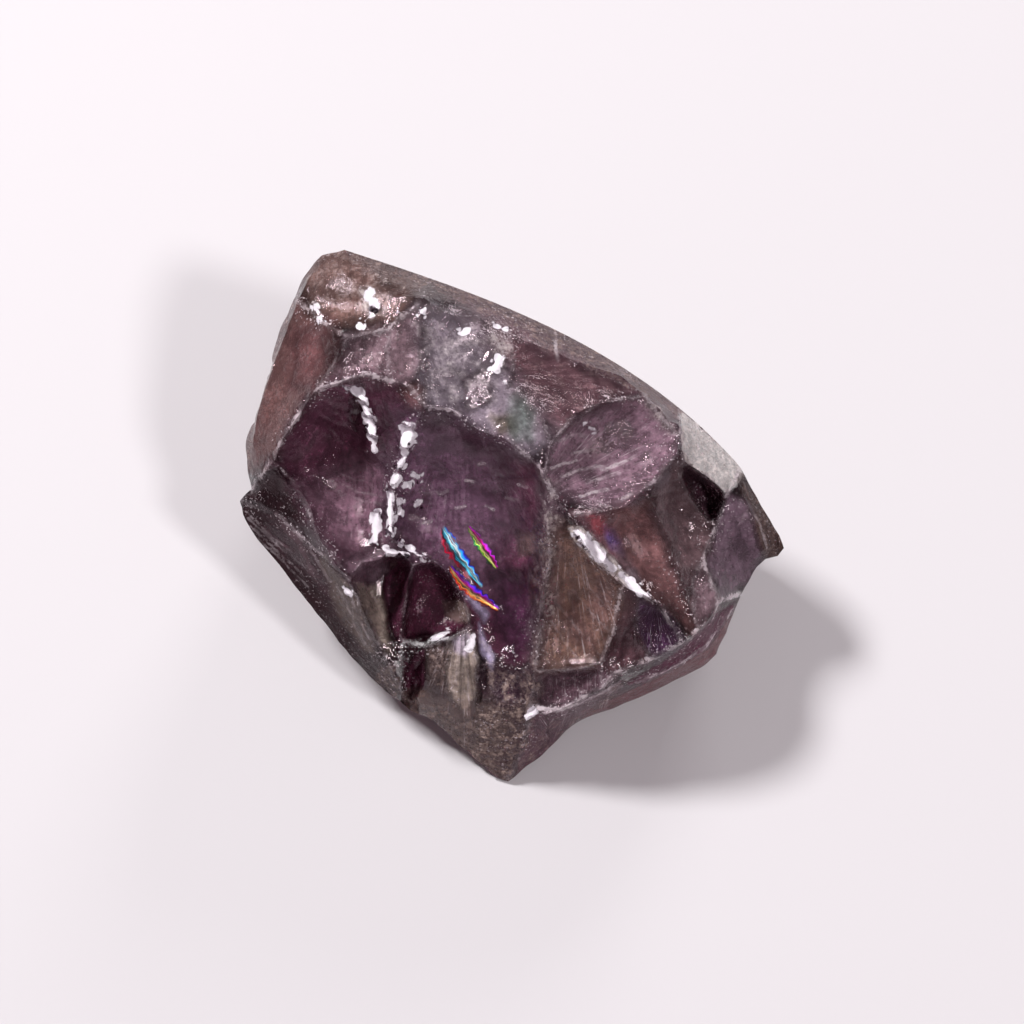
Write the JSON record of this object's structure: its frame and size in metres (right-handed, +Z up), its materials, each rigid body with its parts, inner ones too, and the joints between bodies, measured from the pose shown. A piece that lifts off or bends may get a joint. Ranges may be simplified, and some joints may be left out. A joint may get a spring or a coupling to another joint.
{
  "type": "rough alexandrite",
  "caption": "Broken chunk of transparent purple crystal with shell-like fracture bowls, sharp ridges, a frosted curved skin and a flat base to rest on.",
  "frame": {"origin": "centre of the bounding box on the flat base", "axes": "+Z up from the base, +X along the longest side, broken face up and leaning to -Y"},
  "size_m": [0.0296, 0.0258, 0.0156],
  "materials": {
    "alexandrite": "transparent dark purple crystal, glassy on fresh fractures, frosted on its outer skin"
  },
  "bodies": {
    "root": {"rough_alexandrite": "alexandrite"}
  },
  "joints": []
}
